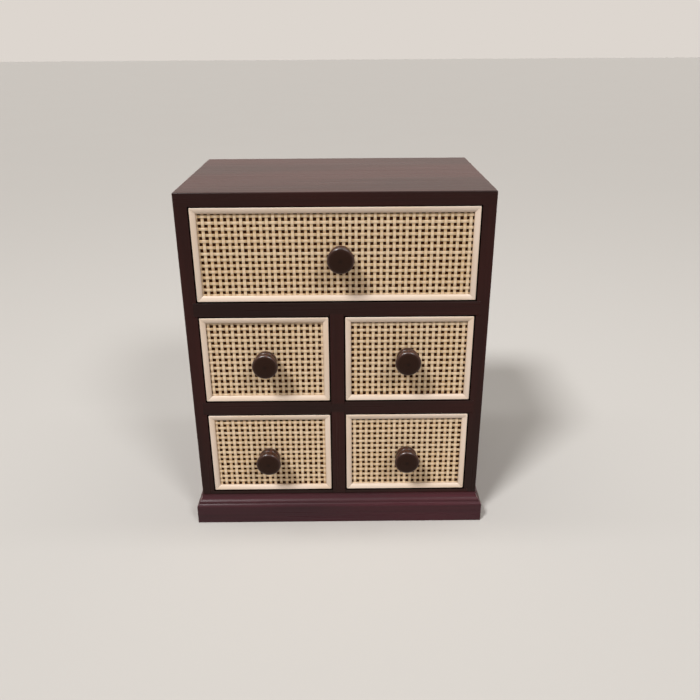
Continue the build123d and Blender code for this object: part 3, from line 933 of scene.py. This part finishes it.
stageLook = {
    # the floor throws back less light than it shows, so that the shadows keep their depth
    "floorSize": 30.0, "floor": "#C9C6C2", "floorBounce": "#8E8A85", "speckleScale": 3.0,
    "floorRoughness": (0.62, 0.72), "floorSpecular": 0.2,
    "background": "#DDD6CF", "fill": "#E6D3BC", "fillStrength": 0.2,
    # turned from straight ahead, raised, apparent size, strength
    "suns": {"left": (-37, 52, 12, 2.33), "right": (33, 42, 15, 1.06)},
    "panelPlace": (0.0, 0.0, 1.25), "panelSize": (1.5, 0.12), "panelPower": 5.0,
    "cameraPlace": (0.00829, -0.63112, 0.41780), "cameraTilt": (66.332, 0.335, -0.414), "lens": 36.711,
    "sensor": 36.0,
}


def shownRay(tree):
    # 1 for what the camera sees straight, in a reflection or through glass, 0 for light that only bounces
    path = addNode(tree, "ShaderNodeLightPath").outputs
    seen = addNode(tree, "ShaderNodeMath", {0: path["Is Camera Ray"], 1: path["Is Glossy Ray"]},
                   operation="MAXIMUM")
    return addNode(tree, "ShaderNodeMath", {0: seen, 1: path["Is Transmission Ray"]}, operation="MAXIMUM")


floorBuild = bmesh.new()
bmesh.ops.create_grid(floorBuild, x_segments=4, y_segments=4, size=stageLook["floorSize"] / 2)
floorMaterial, tree, surface = startMaterial("paleFloor")
place = addNode(tree, "ShaderNodeTexCoord").outputs["Object"]
speckle = addNode(tree, "ShaderNodeTexNoise", {"Vector": place, "Scale": stageLook["speckleScale"]})
rough = addNode(tree, "ShaderNodeMapRange", {0: speckle, 3: stageLook["floorRoughness"][0],
                                             4: stageLook["floorRoughness"][1]})
paint = addNode(tree, "ShaderNodeMix", {0: shownRay(tree), 6: toLinear(stageLook["floorBounce"]),
                                        7: toLinear(stageLook["floor"])}, data_type="RGBA")
tree.links.new(paint.outputs[2], surface.inputs["Base Color"])
tree.links.new(rough.outputs[0], surface.inputs["Roughness"])
surface.inputs["Specular IOR Level"].default_value = stageLook["floorSpecular"]
linkObject("floor", cleanMesh(floorBuild, "floor"), floorMaterial)

world = bpy.data.worlds.new("studio")
scene.world = world
world.use_nodes = True
tree = world.node_tree
tree.nodes.clear()
fill = addNode(tree, "ShaderNodeBackground", {"Color": toLinear(stageLook["fill"]),
                                              "Strength": stageLook["fillStrength"]})
backdrop = addNode(tree, "ShaderNodeBackground", {"Color": toLinear(stageLook["background"]),
                                                  "Strength": 1.0})
chosen = addNode(tree, "ShaderNodeMixShader", {0: shownRay(tree), 1: fill, 2: backdrop})
addNode(tree, "ShaderNodeOutputWorld", {"Surface": chosen})

for hand, (turnedBy, raised, spread, strength) in stageLook["suns"].items():
    sunLight = bpy.data.lights.new(f"{hand}Sun", "SUN")
    sunLight.energy = strength
    sunLight.angle = math.radians(spread)
    height, side = math.radians(raised), math.radians(turnedBy)
    towardsSun = Vector((math.sin(side) * math.cos(height), -math.cos(side) * math.cos(height),
                         math.sin(height)))
    linkObject(f"{hand}Sun", sunLight).rotation_euler = towardsSun.to_track_quat("Z", "Y").to_euler()

# a long ceiling panel puts the arc of light on the knobs' edges
panelLight = bpy.data.lights.new("ceilingPanel", "AREA")
panelLight.shape = "RECTANGLE"
panelLight.size, panelLight.size_y = stageLook["panelSize"]
panelLight.energy = stageLook["panelPower"]
panel = linkObject("ceilingPanel", panelLight)
panel.location = stageLook["panelPlace"]
panel.visible_camera = False

cameraData = bpy.data.cameras.new("photoView")
cameraData.lens = stageLook["lens"]
cameraData.sensor_width = stageLook["sensor"]
camera = linkObject("photoView", cameraData)
camera.location = stageLook["cameraPlace"]
camera.rotation_euler = [math.radians(a) for a in stageLook["cameraTilt"]]
scene.camera = camera
scene.view_settings.view_transform = "Standard"
print("floor, light and camera set")
